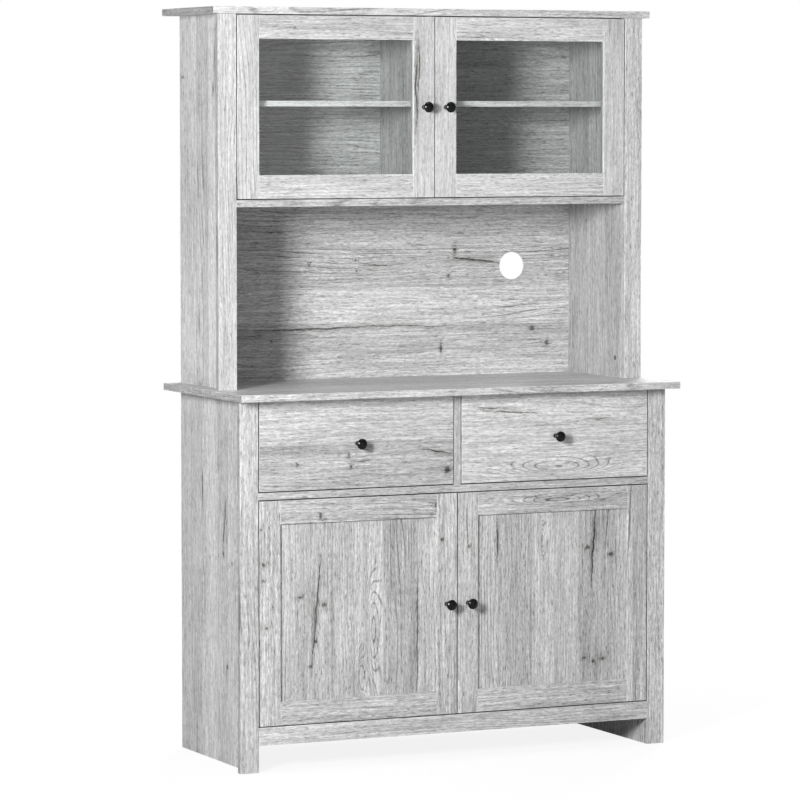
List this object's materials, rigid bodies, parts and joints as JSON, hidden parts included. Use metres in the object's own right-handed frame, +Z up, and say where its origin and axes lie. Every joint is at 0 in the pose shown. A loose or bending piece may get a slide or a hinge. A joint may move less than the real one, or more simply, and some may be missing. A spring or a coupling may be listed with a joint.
{
  "type": "kitchen buffet with hutch",
  "caption": "Kitchen buffet: a cabinet with drawers and framed doors, and a shallower hutch on its counter with an open niche below glazed doors.",
  "frame": {"origin": "on the floor, under the middle of the whole piece's bounding box", "axes": "+Z up, -Y out of the front (doors and drawers), +X to the right as seen from the front"},
  "size_m": [1.0414, 0.4382, 1.6129],
  "materials": {
    "oak_boards": "matte grey oak laminate",
    "oak_fronts": "matte grey oak laminate",
    "oak_backs": "thin printed fibreboard",
    "drawer_board": "pale grey laminate",
    "black_knob": "satin black",
    "clear_glass": "clear",
    "glazing_strip": "grey",
    "plated_steel": "zinc plated",
    "white_plastic": "smooth",
    "dowel_beech": "raw beech"
  },
  "bodies": {
    "cabinet": {"base_side_left": "oak_boards", "base_stile_left": "oak_boards", "base_side_right": "oak_boards", "base_stile_right": "oak_boards", "base_apron": "oak_boards", "base_bottom": "oak_boards", "base_deck": "oak_boards", "base_divider": "oak_boards", "drawer_divider": "oak_boards", "base_back": "oak_backs", "countertop": "oak_boards", "hutch_side_left": "oak_boards", "hutch_stile_left": "oak_boards", "hutch_side_right": "oak_boards", "hutch_stile_right": "oak_boards", "hutch_board": "oak_boards", "hutch_divider": "oak_boards", "hutch_back": "oak_backs", "hutch_top": "oak_boards", "base_shelves": "oak_boards", "shelf_pins": "plated_steel", "hutch_shelves": "oak_boards", "hinge_arms": "plated_steel", "screws": "plated_steel", "drawer_rails": "white_plastic", "cam_locks": "plated_steel", "cam_bolts": "plated_steel", "dowels": "dowel_beech"},
    "base_door_left": {"base_door_left_stiles": "oak_fronts", "base_door_left_rails": "oak_fronts", "base_door_left_panel": "oak_fronts", "hinge_cups_base_left": "plated_steel", "knob_base_left": "black_knob"},
    "hutch_door_left": {"hutch_door_left_stiles": "oak_fronts", "hutch_door_left_rails": "oak_fronts", "hutch_door_left_glass": "clear_glass", "hutch_door_left_glazing_strips": "glazing_strip", "hinge_cups_hutch_left": "plated_steel", "knob_hutch_left": "black_knob"},
    "drawer_left": {"drawer_left_front": "oak_fronts", "knob_drawer_left": "black_knob", "drawer_left_sides": "drawer_board", "drawer_left_bottom": "drawer_board", "drawer_left_back": "drawer_board"},
    "base_door_right": {"base_door_right_stiles": "oak_fronts", "base_door_right_rails": "oak_fronts", "base_door_right_panel": "oak_fronts", "hinge_cups_base_right": "plated_steel", "knob_base_right": "black_knob"},
    "hutch_door_right": {"hutch_door_right_stiles": "oak_fronts", "hutch_door_right_rails": "oak_fronts", "hutch_door_right_glass": "clear_glass", "hutch_door_right_glazing_strips": "glazing_strip", "hinge_cups_hutch_right": "plated_steel", "knob_hutch_right": "black_knob"},
    "drawer_right": {"drawer_right_front": "oak_fronts", "knob_drawer_right": "black_knob", "drawer_right_sides": "drawer_board", "drawer_right_bottom": "drawer_board", "drawer_right_back": "drawer_board"}
  },
  "joints": [
    {"name": "base_door_left_hinge", "type": "hinge", "parent": "cabinet", "child": "base_door_left", "pos_m": [-0.4465, -0.16748, 0.17265], "axis": [0, 0, -1], "range_deg": [0, 95]},
    {"name": "base_door_right_hinge", "type": "hinge", "parent": "cabinet", "child": "base_door_right", "pos_m": [0.4465, -0.16748, 0.17265], "axis": [0, 0, 1], "range_deg": [0, 95]},
    {"name": "hutch_door_left_hinge", "type": "hinge", "parent": "cabinet", "child": "hutch_door_left", "pos_m": [-0.4465, -0.05432, 1.28225], "axis": [0, 0, -1], "range_deg": [0, 95]},
    {"name": "hutch_door_right_hinge", "type": "hinge", "parent": "cabinet", "child": "hutch_door_right", "pos_m": [0.4465, -0.05432, 1.28225], "axis": [0, 0, 1], "range_deg": [0, 95]},
    {"name": "drawer_left_slide", "type": "slide", "parent": "cabinet", "child": "drawer_left", "axis": [0, -1, 0], "range_m": [0, 0.25]},
    {"name": "drawer_right_slide", "type": "slide", "parent": "cabinet", "child": "drawer_right", "axis": [0, -1, 0], "range_m": [0, 0.25]}
  ]
}
